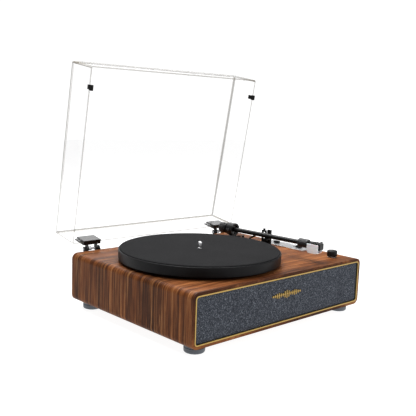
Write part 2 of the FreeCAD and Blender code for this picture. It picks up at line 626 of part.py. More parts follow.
def make_arm_base():
    deck = "-arm_height"
    disc = fuse(rod("base_radius", "0", "0", deck, "base_thick"),
                box(("-9", "9"), ("-base_reach", "0"), (deck, f"{deck} + base_thick")))
    keep("tonearm_base", on_arm(cut(disc, rod("7.05", "0", "0", f"{deck} - 1", "9"))))
    bore = "stem_radius + run_fit"
    pillar = turned([(bore, f"{deck} - 20"), ("7", f"{deck} - 20"), ("7", f"{deck} + base_thick"),
                     ("pillar_radius", f"{deck} + base_thick"), ("pillar_radius", "-16"), (bore, "-16")])
    keep("tonearm_pillar", on_arm(pillar))
    nut = doc.addObject("Part::Prism", "Hexagon")
    nut.Polygon = 6
    nut.Circumradius = 12
    nut.Height = 4
    place(nut, "0", "0", f"{deck} - wall - 4")
    keep("pillar_nut", on_arm(cut(nut, rod("7.02", "0", "0", f"{deck} - wall - 5", "6"))))
    ring = cut(rod("yoke_outer", "0", "7.5", "0", "15", "-y"), rod("yoke_inner", "0", "9", "0", "18", "-y"),
               rod("1.52", "-15", "0", "0", "30", "x"))
    stem = fuse(rod("stem_radius", "0", "0", f"{deck} - 4", "arm_height + 4 - yoke_outer + 1"),
                rod("7", "0", "0", "-15.7", "15.7 - yoke_outer + 0.8"))
    keep("arm_yoke", on_arm(fuse(ring, stem)))
    screws = [screw("1.5", f"{side} * (yoke_outer + 0.1)", "0", "0", "yoke_outer - 6", inward)
              for side, inward in ((-1, "x"), (1, "-x"))]
    keep("pivot_screws", on_arm(group(screws)))


def make_arm():
    block = cut(rod("7", "0", "4", "0", "8", "-y"), rod("1.55", "5.5", "0", "0", "3", "x"),
                rod("1.55", "-5.5", "0", "0", "3", "-x"))
    shaft = rod("3", "0", "4", "0", "weight_far + 2", "y")
    keep("bearing_block", on_arm(fuse(block, shaft)))
    tube_end = "collar_far - 5"
    keep("arm_tube", along_arm(turned([("arm_bore", "4"), ("arm_radius", "4"), ("arm_radius", tube_end),
                                       ("arm_bore", tube_end)])))
    sleeve_ends = ("-weight_far - 2", "1 - weight_near")
    keep("weight_sleeve", along_arm(turned([("3.05", sleeve_ends[0]), ("5.5", sleeve_ends[0]),
                                            ("5.5", sleeve_ends[1]), ("3.05", sleeve_ends[1])])))
    near, far = "-weight_near", "-weight_far"
    keep("counterweight", along_arm(turned([
        ("5.55", far), ("weight_radius - 1", far), ("weight_radius", f"{far} + 1"),
        ("weight_radius", f"{near} - 4.4"), ("weight_radius - 0.8", f"{near} - 4"),
        ("weight_radius", f"{near} - 3.6"), ("weight_radius", f"{near} - 0.6"),
        ("weight_radius - 0.6", near), ("5.55", near)])))
    keep("locking_collar", along_arm(turned([
        ("arm_radius + run_fit", "collar_near"), ("collar_radius - 1.2", "collar_near"),
        ("collar_radius", "collar_near + 1.2"), ("collar_radius", "collar_far - 1"),
        ("collar_radius - 1", "collar_far"), ("arm_radius + run_fit", "collar_far")])))


def make_head():
    neck = fuse(rod("arm_radius", "0", "-collar_far + 4.8", "0", "6", "-y"),
                rod("arm_bore - run_fit", "0", "-collar_far + 13", "0", "9", "-y"),
                box(("-5.9", "5.9"), ("-collar_far - 3", "-collar_far - 0.2"), ("-4", "3")))
    plate = box(("-7", "7"), ("-shell_far", "-collar_far - 0.2"), ("2.6", "5"))
    lip = box(("-6", "6"), ("-shell_far", "-shell_far + 2"), ("-7", "3"))
    finger = fuse(box(("6", "17"), ("-shell_far + 9", "-shell_far + 13"), ("3.2", "4.4")),
                  box(("15.8", "17"), ("-shell_far + 9", "-shell_far + 13"), ("3.2", "6.6")))
    keep("headshell", on_arm(fuse(neck, plate, lip, finger)))
    body = box(("-5.5", "5.5"), ("-shell_far + 6.2", "-shell_far + 22"), ("-10", "2.6"))
    keep("cartridge", on_arm(group([body])))
    needle = doc.addObject("Part::Cone", "Needle")
    needle.Radius1 = 0.15
    needle.Radius2 = 0.7
    needle.Height = 2
    place(needle, "0", "-shell_far + 11", "-13.6")
    holder = box(("-3", "3"), ("-shell_far + 9", "-shell_far + 19"), ("-11.6", "-10"))
    keep("stylus", on_arm(fuse(holder, needle)))
    near, far = "-collar_far - 0.3", "-shell_far + 3.6"
    guard = cut(box(("-8", "8"), (far, near), ("-15.2", "2.2")),
                box(("-6.3", "6.3"), (f"{far} + 1.6", f"{near} + 1"), ("-14", "3")),
                box(("-6.3", "6.3"), (f"{far} - 1", f"{far} + 2"), ("-7.6", "3")))
    keep("stylus_guard", on_arm(guard))


def make_rest():
    near, far = "-rest_near", "-rest_far"
    deck = "-arm_height"
    left, right = "arm_radius + 0.5", "9.6"
    ledge = "-arm_radius - 3.4"
    post = box((left, right), (far, near), (deck, ledge))
    floor = box(("-5.4", right), (far, f"{far} + 8"), (ledge, "-arm_radius - 0.4"))
    wall = box((left, right), (far, f"{far} + 8"), (ledge, "11"))
    ears = [box((left, right), (f"{near} - {a} - 2", f"{near} - {a}"), (ledge, "8.8")) for a in (0, 8)]
    hole = rod("0.85", "7.3", f"{near} + 1", "6.8", "14", "-y")
    keep("arm_rest", on_arm(cut(fuse(post, floor, wall, *ears), hole)))
    keep("latch_pin", on_arm(group([rod("0.8", "7.3", near, "6.8", "10", "-y")])))
    latch = cut(fuse(rod("1.9", "7.3", f"{near} - 2.3", "6.8", "5.4", "-y"),
                     box(("6.4", "8.2"), (f"{near} - 7.7", f"{near} - 2.3"), ("6.8", "14"))),
                rod("0.85", "7.3", near, "6.8", "12", "-y"))
    keep("arm_latch", on_arm(latch))


def make_lift():
    deck = "-arm_height"
    spot = "-lift_reach"
    top = f"{deck} + 14"
    sleeve = fuse(rod("4.5", "0", spot, f"{deck} + base_thick", "11"),
                  box(("0", "9"), (f"{spot} - 3", f"{spot} + 3"), (f"{deck} + base_thick", top)),
                  rod("1.5", "8", spot, f"{deck} + 11", "6", "x"))
    bore = rod("2.5 + run_fit", "0", spot, f"{deck} + base_thick + 0.5", "20")
    keep("lift_cylinder", on_arm(cut(sleeve, bore)))
    bar_low = "-arm_radius - 6"
    bar = cut(rod("lift_reach + 1.2", "0", "0", bar_low, "2.4"),
              rod("lift_reach - 1.8", "0", "0", f"{bar_low} - 1", "4"))
    wedge = doc.addObject("Part::Cylinder", "Sector")
    wedge.setExpression("Radius", on_sheet("lift_reach + 6"))
    wedge.Height = 6
    wedge.Angle = 52
    wedge.Placement = Placement(Vector(0, 0, -13), Rotation(UP, 222))
    sector = doc.addObject("Part::Common", "Arc")
    sector.Base = bar
    sector.Tool = wedge
    plunger = rod("2.5", "0", spot, f"{deck} + base_thick + 1", f"arm_height - base_thick + {bar_low}")
    keep("lift_bar", on_arm(fuse(sector, plunger)))
    lever = box(("9.4", "12.4"), ("-24", "0"), ("-1.5", "1.5"))
    tip = rod("2.2", "9", "-24", "0", "3.8", "x")
    barrel = rod("3", "9.4", "0", "0", "3", "x")
    lever = cut(fuse(lever, tip, barrel), rod("1.5 + run_fit", "8", "0", "0", "6", "x"))
    slope = Rotation(UP, number("arm_angle")) * Rotation(AXES["-x"], 30)
    lever.Placement = Placement(Vector(), slope)
    angle = math.radians(number("arm_angle"))
    place(lever, f"pivot_across + {math.sin(angle):.6f} * lift_reach",
          f"pivot_back - {math.cos(angle):.6f} * lift_reach", "deck_level + 11")
    keep("cue_lever", lever)


# ---- Dust cover and its hinges ----

def make_cover():
    half = "cover_width / 2"
    front = "cover_back - cover_depth"
    top = "rim_rise + cover_height"
    outer = box((f"-{half}", half), (front, "cover_back"), ("rim_rise", top))
    level = number(top)
    outer = soften(outer, 4, lambda edge: along("z")(edge) or edge.BoundBox.ZMin > level - 0.01)
    inner = soften(box((f"cover_wall - {half}", f"{half} - cover_wall"),
                       (f"{front} + cover_wall", "cover_back - cover_wall"),
                       ("rim_rise - 1", f"{top} - cover_wall")), 2, along("z"))
    keep("dust_cover", on_hinge(cut(outer, inner)))
    pads = []
    front = "cover_back - cover_depth + 38"
    for side in (-1, 1):
        inner_face = f"{side} * (cover_width / 2 - cover_wall)"
        low, high = sorted((inner_face, f"{inner_face} - {side} * 3"), key=number)
        stem = box((low, high), (f"{front} - 4", f"{front} + 4"), ("rim_rise - 5.8", "rim_rise + 9"))
        outer_face = f"{side} * (cover_width / 2 - 0.2)"
        low, high = sorted((outer_face, f"{inner_face} - {side} * 3"), key=number)
        shoe = box((low, high), (f"{front} - 5", f"{front} + 5"), ("rim_rise - 5.8", "rim_rise"))
        pads.append(fuse(stem, shoe))
    keep("cover_bumpers", on_hinge(group(pads)))


def make_hinges():
    clamps, bases, pins, springs = [], [], [], []
    axis = ("axis_back", "deck_level + axis_rise")
    for side in (-1, 1):
        middle = f"{side} * hinge_across"
        width = (f"{middle} - hinge_half", f"{middle} + hinge_half")
        solids = [box(width, ("-16.6", "-14.1"), ("-0.7", "25.3")),
                  box(width, ("-10.7", "-7.9"), ("-0.7", "31.3")),
                  box(width, ("-16.6", "-7.9"), ("-0.7", "3.6"))]
        for offset in ("-12", "8"):
            low = f"{middle} + {offset}"
            lug = prism([("-9", "-0.7"), ("-7.9", "-0.7"), ("-1.6", "-4.2"), ("0", "0"), ("1", "4.38"),
                         ("-9", "4.4")], low, f"{low} + 4")
            solids += [lug, rod("barrel_radius", low, "0", "0", "4", "x")]
        bore = rod("pin_radius + run_fit", f"{middle} - 20", "0", "0", "40", "x")
        clamps.append(cut(fuse(*solids), bore))
        plate = [box(width, (BACK, f"{BACK} + 2"), ("deck_level - 38", "deck_level - 1"))]
        for offset in ("-17", "12.3"):
            low = f"{middle} + {offset}"
            plate += [box((low, f"{low} + 4.7"), (f"{BACK} + 1", axis[0]), ("deck_level - 6", axis[1])),
                      rod("barrel_radius", low, *axis, "4.7", "x")]
        holes = [rod("pin_radius + 0.02", f"{middle} - 20", *axis, "40", "x")]
        holes += [rod("1.6", x, f"{BACK} - 1", z, "5", "y")
                  for x, z in HINGE_SPOTS if x.startswith(f"{side} *")]
        bases.append(cut(fuse(*plate), *holes))
        pins.append(rod("pin_radius", f"{middle} - 18", *axis, "36", "x"))
        springs.append(tube("3.9", "pin_radius + run_fit", f"{middle} - 7.5", *axis, "6", "x"))
    keep("hinge_clamps", on_hinge(group(clamps)))
    keep("hinge_bases", group(bases))
    keep("hinge_pins", group(pins))
    keep("hinge_springs", group(springs))


def make_screws():
    screws = [screw("1.8", x, y, "5", "foot_height + 3", "z") for x, y in FOOT_SPOTS]
    screws += [screw("1.8", x, y, "foot_height", "9", "z") for x, y in HATCH_SPOTS]
    screws += [screw("1.2", x, BACK, z, "12", "-y") for x, z in PANEL_SPOTS]
    screws += [screw("1.2", x, f"{BACK} + 2", z, "9", "-y") for x, z in IO_SPOTS]
    screws += [screw("1.5", x, f"{BACK} + 2", z, "9", "-y") for x, z in HINGE_SPOTS]
    keep("case_screws", group(screws))


for make in (make_shell, make_front, make_badge, make_rear, make_bottom, make_speakers, make_electronics,
             make_connectors, make_drive, make_controls, make_arm_base, make_arm, make_head, make_rest,
             make_lift, make_cover, make_hinges,
             make_screws):
    make()
doc.recompute()

faults = [item.Label for item in doc.Objects if {"Invalid", "Error"} & set(item.State)]
faults += [item.Label for item in pieces if item.Shape.isNull() or not item.Shape.isValid()]
if faults:
    raise RuntimeError("these objects failed: " + ", ".join(faults))
os.makedirs("parts", exist_ok=True)
for piece in pieces:
    piece.Shape.exportStep(os.path.join("parts", piece.Label + ".step"))
print(len(pieces), "parts written")
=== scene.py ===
import json
import math

import bmesh
import bpy
from mathutils import Matrix, Vector


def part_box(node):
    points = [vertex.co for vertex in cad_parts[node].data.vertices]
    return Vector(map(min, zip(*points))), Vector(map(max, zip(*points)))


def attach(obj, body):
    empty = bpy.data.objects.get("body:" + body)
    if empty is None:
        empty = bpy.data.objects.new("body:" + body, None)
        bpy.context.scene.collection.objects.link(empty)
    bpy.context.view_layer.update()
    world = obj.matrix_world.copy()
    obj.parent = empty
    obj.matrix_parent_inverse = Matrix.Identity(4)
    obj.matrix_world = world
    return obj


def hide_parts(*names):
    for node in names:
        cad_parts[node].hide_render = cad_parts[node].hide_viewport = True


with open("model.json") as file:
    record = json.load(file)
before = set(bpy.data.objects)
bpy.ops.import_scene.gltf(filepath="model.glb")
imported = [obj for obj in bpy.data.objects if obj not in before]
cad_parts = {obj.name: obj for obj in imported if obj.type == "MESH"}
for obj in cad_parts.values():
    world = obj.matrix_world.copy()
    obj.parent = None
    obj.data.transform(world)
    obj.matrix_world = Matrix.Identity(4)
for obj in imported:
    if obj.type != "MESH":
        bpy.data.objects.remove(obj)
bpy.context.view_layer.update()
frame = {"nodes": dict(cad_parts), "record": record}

MM = 0.001
NODES = frame["nodes"]
JOINTS = {joint["name"]: joint for joint in frame["record"]["behaviour"]["joints"]}
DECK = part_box("cabinet_shell")[1][2]
ARM_LINE = Vector(JOINTS["headshell_pull"]["axis"])
PIVOT = Vector(JOINTS["arm_swing"]["pos_m"])
SPINDLE = Vector(JOINTS["platter_spin"]["pos_m"])
HINGE = Vector(JOINTS["cover_hinge"]["pos_m"])
DECK_MIDDLE = Vector((0, 0, 0.1))


# ---- Node-tree helpers ----

class Look:
    """A procedural material and short ways to wire it."""

    def __init__(self, name, **sockets):
        self.material = bpy.data.materials.new(name)
        self.material.use_nodes = True
        self.tree = self.material.node_tree
        self.shader = self.tree.nodes["Principled BSDF"]
        for socket, value in sockets.items():
            self.shader.inputs[socket.replace("_", " ")].default_value = value

    def node(self, kind, **values):
        made = self.tree.nodes.new("ShaderNode" + kind)
        for key, value in values.items():
            if hasattr(made, key):
                setattr(made, key, value)
            else:
                made.inputs[key.replace("_", " ")].default_value = value
        return made

    def link(self, source, target):
        self.tree.links.new(source, target)

    def place(self, stretch=(1, 1, 1)):
        """Object coordinates, stretched per axis."""
        spot = self.node("TexCoord")
        mapping = self.node("Mapping")
        mapping.inputs["Scale"].default_value = stretch
        self.link(spot.outputs["Object"], mapping.inputs["Vector"])
        return mapping.outputs["Vector"]

    def noise(self, where, scale, detail=4.0, roughness=0.55, distortion=0.0):
        made = self.node("TexNoise", Scale=scale, Detail=detail, Roughness=roughness,
                         Distortion=distortion)
        self.link(where, made.inputs["Vector"])
        return made.outputs["Fac"]

    def ramp(self, source, stops):
        """Colours at positions from 0 to 1, chosen by source."""
        made = self.node("ValToRGB")
        elements = made.color_ramp.elements
        while len(elements) < len(stops):
            elements.new(0.5)
        for element, (position, colour) in zip(elements, stops):
            element.position = position
            element.color = (*colour, 1) if len(colour) == 3 else colour
        self.link(source, made.inputs["Fac"])
        return made.outputs["Color"]

    def mix(self, factor, first, second, blend="MIX"):
        """Two colours mixed; each input is a value or another node's output."""
        made = self.node("Mix")
        made.data_type = "RGBA"
        made.blend_type = blend
        for socket, value in ((made.inputs[0], factor), (made.inputs[6], first), (made.inputs[7], second)):
            if hasattr(value, "links"):
                self.link(value, socket)
            else:
                socket.default_value = value
        return made.outputs[2]

    def math(self, operation, first, second=0.0):
        made = self.node("Math")
        made.operation = operation
        for socket, value in zip(made.inputs, (first, second)):
            if hasattr(value, "links"):
                self.link(value, socket)
            else:
                socket.default_value = value
        return made.outputs[0]

    def span(self, source, low, high):
        """Source, from 0 to 1, spread from low to high."""
        made = self.node("MapRange")
        made.inputs["To Min"].default_value = low
        made.inputs["To Max"].default_value = high
        self.link(source, made.inputs["Value"])
        return made.outputs["Result"]

    def bump(self, height, strength, distance, radius=0.0):
        """Relief, over edges that are softened in shading by radius."""
        made = self.node("Bump", Strength=strength, Distance=distance)
        self.link(height, made.inputs["Height"])
        if radius:
            edge = self.node("Bevel", Radius=radius)
            edge.samples = 4
            self.link(edge.outputs["Normal"], made.inputs["Normal"])
        self.link(made.outputs["Normal"], self.shader.inputs["Normal"])

    def set(self, socket, source):
        self.link(source, self.shader.inputs[socket])


def linear(code):
    """A colour from its usual six-digit code."""
    parts = [int(code[i:i + 2], 16) / 255 for i in (0, 2, 4)]
    return tuple(c / 12.92 if c <= 0.04045 else ((c + 0.055) / 1.055) ** 2.4 for c in parts)


# ---- Materials ----

def walnut():
    """Figured veneer: bands run across the cabinet's top and down its sides."""
    look = Look("walnut", Specular_IOR_Level=0.03, Coat_Weight=0.09, Coat_Roughness=0.4)
    broad = look.noise(look.place((0.5, 6, 0.5)), 5.0, 3, 0.55, 0.3)
    streak = look.noise(look.place((1.5, 58, 1.5)), 5.0, 6, 0.7, 0.7)
    pores = look.noise(look.place((16, 460, 16)), 3.0, 3, 0.6)
    base = look.ramp(broad, [(0.36, linear("2a150b")), (0.46, linear("43210f")), (0.54, linear("6a3a1c")),
                             (0.64, linear("8a5229"))])
    lines = look.ramp(streak, [(0.38, linear("241108")), (0.47, linear("462613")), (0.55, linear("7e4c28")),
                               (0.66, linear("b58254"))])
    colour = look.mix(0.55, base, lines)
    dark = look.ramp(pores, [(0.36, (0.5, 0.5, 0.5)), (0.5, (1, 1, 1))])
    look.set("Base Color", look.mix(0.5, colour, dark, "MULTIPLY"))
    look.set("Roughness", look.span(streak, 0.36, 0.52))
    look.bump(pores, 0.12, 0.0003, 0.0008)
    return look.material


def cloth():
    """Plain weave of two yarns with lighter flecks."""
    look = Look("speaker_cloth", Roughness=0.95, Specular_IOR_Level=0.15)
    where = look.place()
    split = look.node("SeparateXYZ")
    look.link(where, split.inputs[0])
    yarn_pair = 0.0012
    turns = 2 * math.pi / yarn_pair
    across = look.math("SINE", look.math("MULTIPLY", split.outputs["X"], turns))
    down = look.math("SINE", look.math("MULTIPLY", split.outputs["Z"], turns))
    weave = look.math("MULTIPLY", across, down)
    slub = look.noise(look.place((40, 40, 900)), 1.0, 3, 0.6)
    fleck = look.noise(look.place((900, 900, 480)), 1.0, 3, 0.8)
    base = look.ramp(fleck, [(0.36, linear("272a30")), (0.5, linear("3f434b")), (0.6, linear("646973")),
                             (0.72, linear("bcc1cb"))])
    shade = look.ramp(look.span(weave, 0.25, 0.75), [(0.2, (0.62, 0.62, 0.62)), (0.8, (1.1, 1.1, 1.1))])
    tone = look.ramp(slub, [(0.35, (0.85, 0.85, 0.86)), (0.65, (1.12, 1.12, 1.1))])
    look.set("Base Color", look.mix(1.0, look.mix(1.0, base, shade, "MULTIPLY"), tone, "MULTIPLY"))
    look.bump(weave, 0.5, 0.0004)
    return look.material


def moulded(name, code, roughness, grain=1800, relief=0.08, coat=0.0, radius=0.0004, shine=0.5):
    """Moulded plastic or paint: fine grain, faint tone change, softened edges."""
    look = Look(name, Coat_Weight=coat, Coat_Roughness=0.08, Specular_IOR_Level=shine)
    cloud = look.noise(look.place(), 22, 3)
    fine = look.noise(look.place(), grain, 2)
    colour = linear(code)
    dull = tuple(c * 0.82 for c in colour)
    worn = tuple(min(1, c * 1.18 + 0.004) for c in colour)
    look.set("Base Color", look.ramp(cloud, [(0.3, dull), (0.7, worn)]))
    look.set("Roughness", look.span(cloud, roughness * 0.85, min(1, roughness * 1.2)))
    look.bump(fine, relief, 0.0002, radius)
    return look.material


def metal(name, code, roughness, stretch=(1, 1, 1), brushed=0.15, radius=0.0003):
    """Bare metal, brushed along the axis whose stretch is smallest."""
    look = Look(name, Metallic=1.0)
    lines = look.noise(look.place(tuple(600 * s for s in stretch)), 1.0, 4, 0.7)
    cloud = look.noise(look.place(), 30, 3)
    colour = linear(code)
    look.set("Base Color", look.ramp(lines, [(0.3, tuple(c * 0.86 for c in colour)), (0.7, colour)]))
    look.set("Roughness", look.span(cloud, roughness * 0.75, roughness * 1.3))
    look.bump(lines, brushed, 0.0001, radius)
    return look.material


def felt():
    """Black felt: matted fibres with faint clouds."""
    look = Look("felt_mat", Roughness=0.95, Specular_IOR_Level=0.05)
    fibre = look.noise(look.place(), 900, 6, 0.75, 1.2)
    cloud = look.noise(look.place(), 16, 4)
    base = look.ramp(fibre, [(0.3, linear("111112")), (0.55, linear("1e1e1f")), (0.75, linear("2f2f30"))])
    tone = look.ramp(cloud, [(0.3, (0.88, 0.88, 0.88)), (0.7, (1.08, 1.08, 1.08))])
    look.set("Base Color", look.mix(1.0, base, tone, "MULTIPLY"))
    look.bump(fibre, 0.6, 0.0006)
    return look.material


def acrylic(name, tint, face_on, edge_on):
    """Clear sheet: opacity grows from face_on to edge_on as the surface turns away, a painted stand-in for
    the sheet's reflection, which grows the same way.
    """
    look = Look(name, Roughness=0.05, IOR=1.3)
    scuff = look.noise(look.place((40, 40, 2)), 30, 5, 0.7, 1.0)
    look.set("Base Color", look.ramp(scuff, [(0.3, tuple(c * 0.94 for c in tint)), (0.7, tint)]))
    # Opacity of the tinted colour rising at grazing angles: painted reflection.
    facing = look.node("LayerWeight", Blend=0.35)
    look.set("Alpha", look.span(facing.outputs["Facing"], face_on, edge_on))
    return look.material


def translucent():
    """White plastic that lets a little light through."""
    look = Look("guard_plastic", IOR=1.45, Subsurface_Weight=0.1, Subsurface_Scale=0.002,
                Coat_Weight=0.2, Coat_Roughness=0.1)
    cloud = look.noise(look.place(), 120, 3)
    look.set("Base Color", look.ramp(cloud, [(0.3, linear("f2f2f5")), (0.7, linear("fcfcfd"))]))
    look.set("Roughness", look.span(cloud, 0.18, 0.3))
    look.bump(cloud, 0.05, 0.0002, 0.0005)
    return look.material


def board_green():
    """Circuit board with lighter tracks under its lacquer."""
    look = Look("circuit_board", Roughness=0.4)
    tracks = look.noise(look.place((300, 60, 1)), 1.0, 2)
    look.set("Base Color", look.ramp(tracks, [(0.45, linear("0d4a2a")), (0.5, linear("1b6b40"))]))
    look.bump(tracks, 0.2, 0.0002)
    return look.material


def paper():
    """Pressed black paper of the speaker cones."""
    look = Look("cone_paper", Roughness=0.9)
    fibre = look.noise(look.place(), 260, 6, 0.7)
    look.set("Base Color", look.ramp(fibre, [(0.3, linear("1c1c1c")), (0.7, linear("343434"))]))
    look.bump(fibre, 0.4, 0.0004)
    return look.material


def fibreboard():
    """Pressed wood fibre of the hidden panels."""
    look = Look("fibreboard", Roughness=0.85)
    fibre = look.noise(look.place(), 180, 7, 0.75)
    look.set("Base Color", look.ramp(fibre, [(0.3, linear("6e5238")), (0.7, linear("94734f"))]))
    look.bump(fibre, 0.3, 0.0004, 0.0005)
    return look.material


# The lid's rounded edges and rim, tinted darker and more opaque than its faces: painted shade standing in for
# the light that these edges bend and reflect.
CLEAR_EDGE_SHADE = acrylic("cover_edge_shade", linear("716a5c"), 0.42, 0.85)
# One material for each material slot of the record.
LOOKS = {
    "walnut_veneer": walnut(), "hardboard": fibreboard(), "speaker_cloth": cloth(),
    "black_plastic": moulded("black_plastic", "0b0b0d", 0.42, relief=0.15, radius=0.0009, shine=0.16),
    "gloss_black": moulded("gloss_black", "08080a", 0.24, grain=300, relief=0.02, shine=0.2),
    "gold_trim": metal("gold", "b49658", 0.3, (1, 0.05, 1)),
    "slate_rubber": moulded("slate_rubber", "4a5058", 0.5, grain=900, relief=0.25, coat=0.2),
    "felt": felt(), "steel": metal("steel", "b8b8bc", 0.35),
    "zinc_screw": metal("zinc", "a4a4a6", 0.4), "chrome": metal("chrome", "ececee", 0.2, brushed=0.02),
    "silver_plate": metal("silver", "e4e4e6", 0.28, (1, 0.03, 1), 0.1),
    "arm_black": moulded("arm_paint", "0a0a0b", 0.32, grain=1200, relief=0.05, shine=0.3),
    "collar_grey": moulded("collar_paint", "1f1f21", 0.4, grain=1200, relief=0.06, shine=0.35),
    # The lid's faces: a pale haze thickening at grazing angles, painted reflection.
    "guard_white": translucent(), "clear_acrylic": acrylic("cover_faces", linear("e8e8ea"), 0.015, 0.12),
    "belt_rubber": moulded("belt_rubber", "1a1a1a", 0.8, grain=1500, relief=0.2),
    "circuit_board": board_green(), "magnet": metal("magnet", "4c4c50", 0.5), "paper_cone": paper(),
}
# CAD nodes whose finish differs from their slot's.
SPECIAL = {
    "platter": moulded("platter_paint", "0a0a0c", 0.4, grain=600, relief=0.04, radius=0.0012, shine=0.1),
    "pivot_screws": metal("dark_screw", "4a4a4c", 0.4),
    "cover_bumpers": moulded("bumper_rubber", "060607", 0.6, grain=900, relief=0.2, shine=0.1),
}
SLOT_OF = {part["node"]: part["material_slot"] for part in frame["record"]["subparts"]}


for node_name, slot_name in SLOT_OF.items():
    carried = NODES[node_name]
    for material_slot in carried.material_slots:
        material_slot.material = SPECIAL.get(node_name, LOOKS[slot_name])


# ---- Stage, lights and camera ----

def make_stage():
    """Pale floor, and a world that the camera sees brighter than it lights the object."""
    floor_width, shown_strength, lighting_strength = 12, 1.1, 0.42
    bpy.ops.mesh.primitive_plane_add(size=floor_width, location=(0, 0, 0))
    floor = bpy.context.object
    floor.name = "floor"
    look = Look("floor_paper", Roughness=1.0, Specular_IOR_Level=0.0, Emission_Strength=0.93,
                Emission_Color=(1, 1, 1, 1))
    cloud = look.noise(look.place(), 3, 2)
    look.set("Base Color", look.ramp(cloud, [(0.3, (0.23, 0.23, 0.23)), (0.7, (0.25, 0.25, 0.25))]))
    floor.data.materials.append(look.material)
    world = bpy.data.worlds.new("studio")
    bpy.context.scene.world = world
    world.use_nodes = True
    tree = world.node_tree
    shown = tree.nodes["Background"]
    shown.inputs["Strength"].default_value = shown_strength
    shown.inputs["Color"].default_value = (1, 1, 1, 1)
    lighting = tree.nodes.new("ShaderNodeBackground")
    lighting.inputs["Strength"].default_value = lighting_strength
    path = tree.nodes.new("ShaderNodeLightPath")
    either = tree.nodes.new("ShaderNodeMixShader")
    tree.links.new(path.outputs["Is Camera Ray"], either.inputs[0])
    tree.links.new(lighting.outputs[0], either.inputs[1])
    tree.links.new(shown.outputs[0], either.inputs[2])
    tree.links.new(either.outputs[0], tree.nodes["World Output"].inputs["Surface"])


def make_light(name, spot, size, power):
    """A rectangular lamp aimed at the middle of the deck."""
    lamp = bpy.data.lights.new(name, "AREA")
    lamp.shape = "RECTANGLE"
    lamp.size, lamp.size_y = size
    lamp.energy = power
    holder = bpy.data.objects.new(name, lamp)
    bpy.context.scene.collection.objects.link(holder)
    holder.location = spot
    holder.rotation_euler = (DECK_MIDDLE - Vector(spot)).to_track_quat("-Z", "Y").to_euler()


def make_camera():
    """Seen from the front left, a little above the deck, with a slight roll."""
    place = (-0.8547, -0.8742, 0.2679 + DECK)
    azimuth, pitch, roll = math.radians(-43.226), math.radians(8.241), math.radians(2.062)
    forward = -Vector((math.sin(azimuth) * math.cos(pitch), -math.cos(azimuth) * math.cos(pitch),
                       math.sin(pitch)))
    right = forward.cross(Vector((0, 0, 1))).normalized()
    up = right.cross(forward)
    rolled_right = math.cos(roll) * right + math.sin(roll) * up
    rolled_up = math.cos(roll) * up - math.sin(roll) * right
    camera = bpy.data.cameras.new("camera")
    camera.sensor_width = 36
    camera.lens = 56.63
    camera.clip_start = 0.01
    holder = bpy.data.objects.new("camera", camera)
    bpy.context.scene.collection.objects.link(holder)
    turn = Matrix((rolled_right, rolled_up, -forward)).transposed().to_4x4()
    holder.matrix_world = Matrix.Translation(place) @ turn
    bpy.context.scene.camera = holder


make_stage()
make_light("overhead", spot=(0.1, 0.4, 1.9), size=(1.8, 1.4), power=84)
make_light("fill", spot=(0.9, -1.9, 1.0), size=(1.4, 1.0), power=20)
make_light("back", spot=(0.8, 1.8, 1.2), size=(2.0, 1.0), power=20)
make_camera()
bpy.context.scene.view_settings.view_transform = "Standard"

# ---- Mesh helpers: outlines in millimetres, placed by a matrix ----

def finish_piece(name, mesh, slot_name, body, stands_for=(), matrix=Matrix(), bevel=0.3, weld=True):
    """Turns a bmesh in millimetres into a named piece with rounded edges."""
    if weld:
        bmesh.ops.remove_doubles(mesh, verts=mesh.verts, dist=0.0005)
    bmesh.ops.recalc_face_normals(mesh, faces=mesh.faces)
    bmesh.ops.transform(mesh, matrix=matrix @ Matrix.Scale(MM, 4), verts=mesh.verts)
    for face in mesh.faces:
        face.smooth = True
    data = bpy.data.meshes.new(name)
    mesh.to_mesh(data)
    mesh.free()
    piece = bpy.data.objects.new(name, data)
    bpy.context.scene.collection.objects.link(piece)
    data.materials.append(LOOKS[slot_name])
    if bevel:
        rounding = piece.modifiers.new("rounding", "BEVEL")
        rounding.width = bevel * MM
        rounding.segments = 3
        rounding.limit_method = "ANGLE"
        rounding.angle_limit = math.radians(32)
        rounding.harden_normals = True
    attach(piece, body)
    if stands_for:
        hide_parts(*stands_for)
    return piece


def add_turned(mesh, outline, steps=96, matrix=Matrix(), flutes=0, depth=0.0, fluted=()):
    """A ring of steps around Z from (radius, height) points; the points in fluted get grooves."""
    rings = []
    for index, (radius, height) in enumerate(outline):
        ring = []
        for step in range(steps):
            angle = 2 * math.pi * step / steps
            wave = depth * (0.5 - 0.5 * math.cos(angle * flutes)) if index in fluted else 0.0
            out = radius - wave
            point = Vector((out * math.cos(angle), out * math.sin(angle), height))
            ring.append(mesh.verts.new(matrix @ point))
        rings.append(ring)
    closed = outline[0][0] > 0 and outline[-1][0] > 0
    pairs = list(zip(rings, rings[1:])) + ([(rings[-1], rings[0])] if closed else [])
    for low, high in pairs:
        for step in range(steps):
            after = (step + 1) % steps
            mesh.faces.new((low[step], low[after], high[after], high[step]))


def add_box(mesh, x, y, z, matrix=Matrix()):
    """A box from its (low, high) pairs."""
    made = bmesh.ops.create_cube(mesh, size=1)
    size = Vector((x[1] - x[0], y[1] - y[0], z[1] - z[0]))
    middle = Vector((x[0] + x[1], y[0] + y[1], z[0] + z[1])) / 2
    bmesh.ops.transform(mesh, verts=made["verts"],
                        matrix=matrix @ Matrix.Translation(middle) @ Matrix.Diagonal((*size, 1)))


def add_prism(mesh, corners, low, high, matrix=Matrix()):
    """Corners (x, y) raised from low to high in Z."""
    bottom = [mesh.verts.new(matrix @ Vector((x, y, low))) for x, y in corners]
    top = [mesh.verts.new(matrix @ Vector((x, y, high))) for x, y in corners]
    mesh.faces.new(bottom)
    mesh.faces.new(top)
    for i in range(len(corners)):
        after = (i + 1) % len(corners)
        mesh.faces.new((bottom[i], bottom[after], top[after], top[i]))


